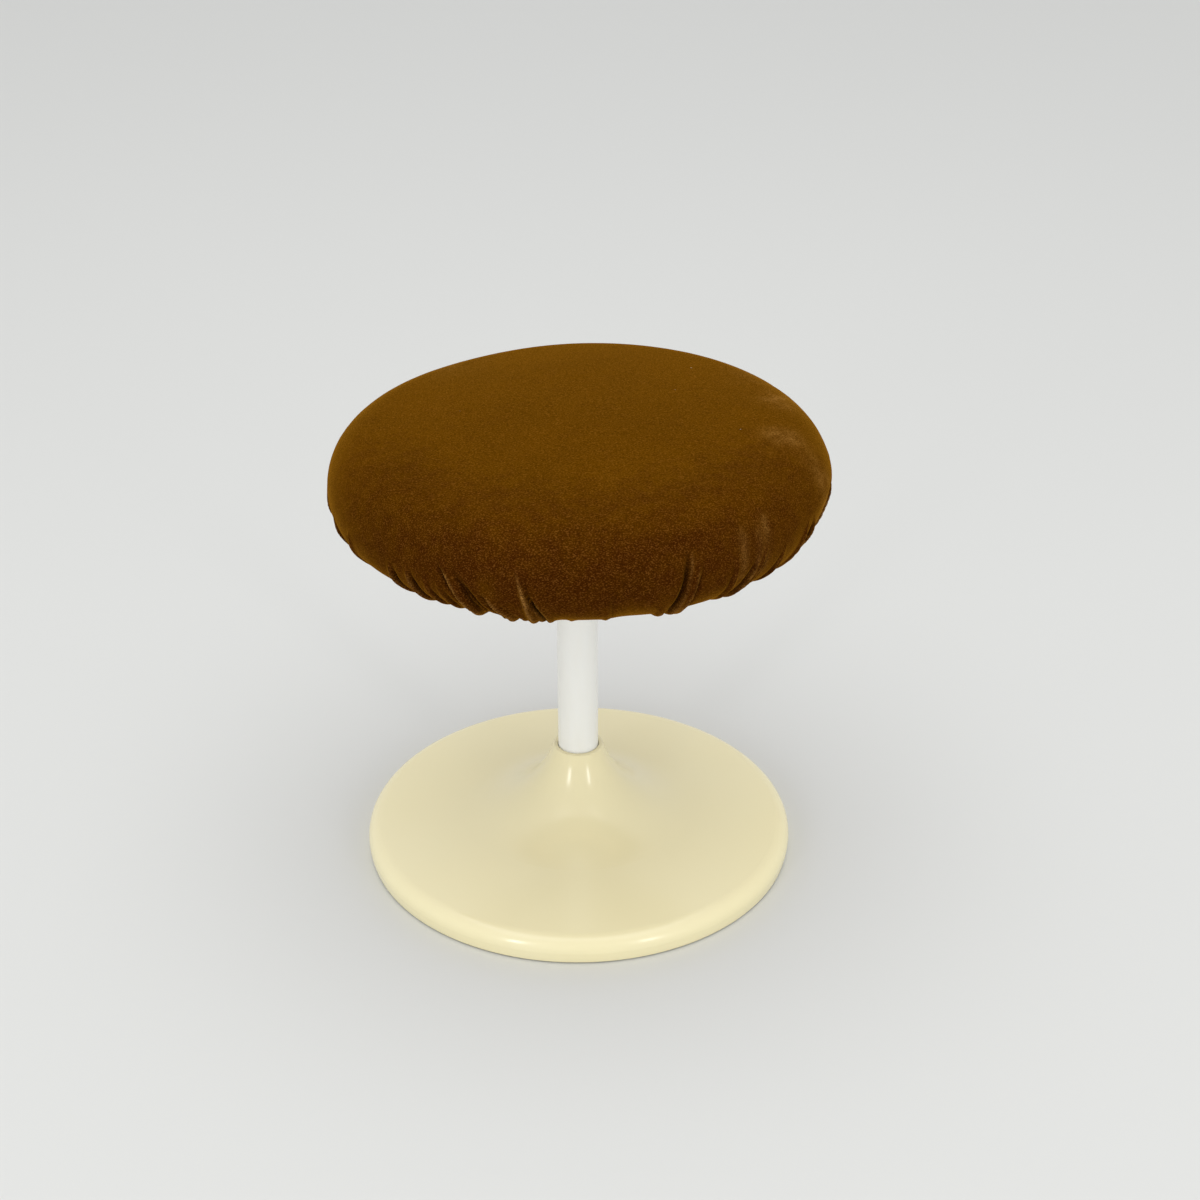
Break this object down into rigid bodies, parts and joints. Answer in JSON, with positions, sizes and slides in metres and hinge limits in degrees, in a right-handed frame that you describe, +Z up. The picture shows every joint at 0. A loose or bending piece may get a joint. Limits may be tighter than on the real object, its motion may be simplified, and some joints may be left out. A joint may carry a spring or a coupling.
{
  "type": "tulip stool",
  "caption": "Low round stool: velvet-covered foam seat that turns on a white steel tube, on a wide cream trumpet-shaped foot.",
  "frame": {"origin": "on the floor at the middle of the foot, under the column's axis", "axes": "+Z up along the column, +Y away from the viewer, +X to the right"},
  "size_m": [0.409, 0.409, 0.4125],
  "materials": {
    "pad_rubber": "matte",
    "black_lacquer": "satin",
    "zinc_steel": "satin",
    "cream_abs": "gloss",
    "bare_steel": "satin",
    "white_lacquer": "gloss",
    "nylon": "satin",
    "plywood": "matte",
    "foam": "matte",
    "velvet": "matte",
    "elastic": "matte"
  },
  "bodies": {
    "base": {"floor_pads": "pad_rubber", "base_plate": "black_lacquer", "cover_screws": "zinc_steel", "trumpet_cover": "cream_abs", "column_flange": "bare_steel", "flange_screws": "zinc_steel", "column_tube": "white_lacquer", "upper_bush": "nylon", "lower_bush": "nylon", "thrust_washer": "nylon"},
    "seat": {"seat_spindle": "bare_steel", "retaining_washer": "zinc_steel", "retaining_lock_washer": "zinc_steel", "retaining_screw": "zinc_steel", "seat_plate": "black_lacquer", "plate_washers": "zinc_steel", "plate_screws": "zinc_steel", "tee_nuts": "zinc_steel", "seat_board": "plywood", "foam_pad": "foam", "velvet_cover": "velvet", "elastic_cord": "elastic"}
  },
  "joints": [
    {"name": "seat_swivel", "type": "hinge", "parent": "base", "child": "seat", "pos_m": [0, 0, 0.3], "axis": [0, 0, 1], "continuous": true}
  ]
}
